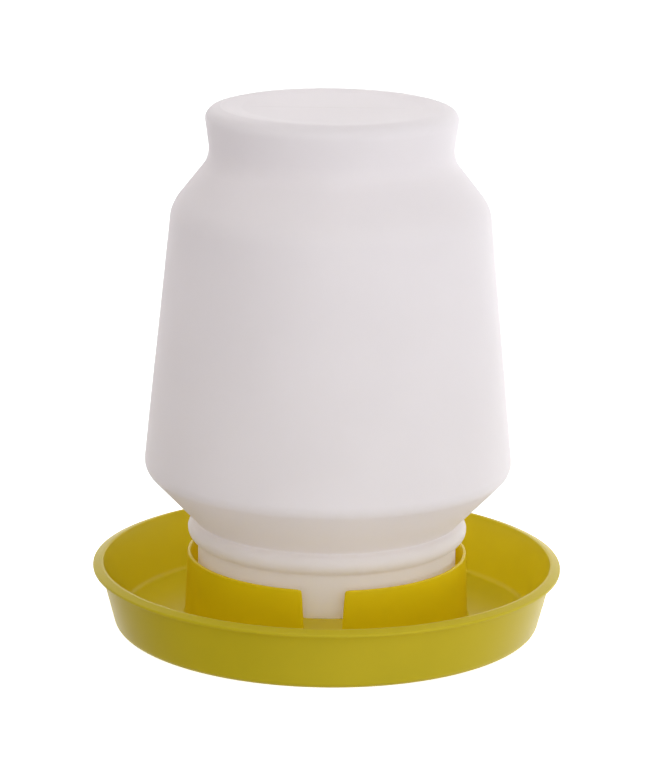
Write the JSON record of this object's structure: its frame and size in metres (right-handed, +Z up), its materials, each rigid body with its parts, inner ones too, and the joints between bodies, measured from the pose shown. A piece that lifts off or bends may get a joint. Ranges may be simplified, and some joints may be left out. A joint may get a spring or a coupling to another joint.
{
  "type": "poultry waterer fount",
  "caption": "Gravity poultry waterer: an upside-down milky plastic jar stands in the slotted collar of a round yellow drinking pan, and lifts off to be filled.",
  "frame": {"origin": "on the fount's axis, at the plane that the pan stands on", "axes": "+Z up along the axis of the pan and the jar; -Y is the front, where one collar slot faces; +X is to the right as seen from the front"},
  "size_m": [0.2286, 0.2286, 0.2557],
  "materials": {
    "yellow_plastic": "satin, injection moulded",
    "milky_plastic": "milky translucent, blow moulded"
  },
  "bodies": {
    "base": {"base": "yellow_plastic"},
    "jar": {"jar": "milky_plastic"}
  },
  "joints": [
    {"name": "jar_lift", "type": "slide", "parent": "base", "child": "jar", "axis": [0, 0, 1], "range_m": [0, 0.16]}
  ]
}
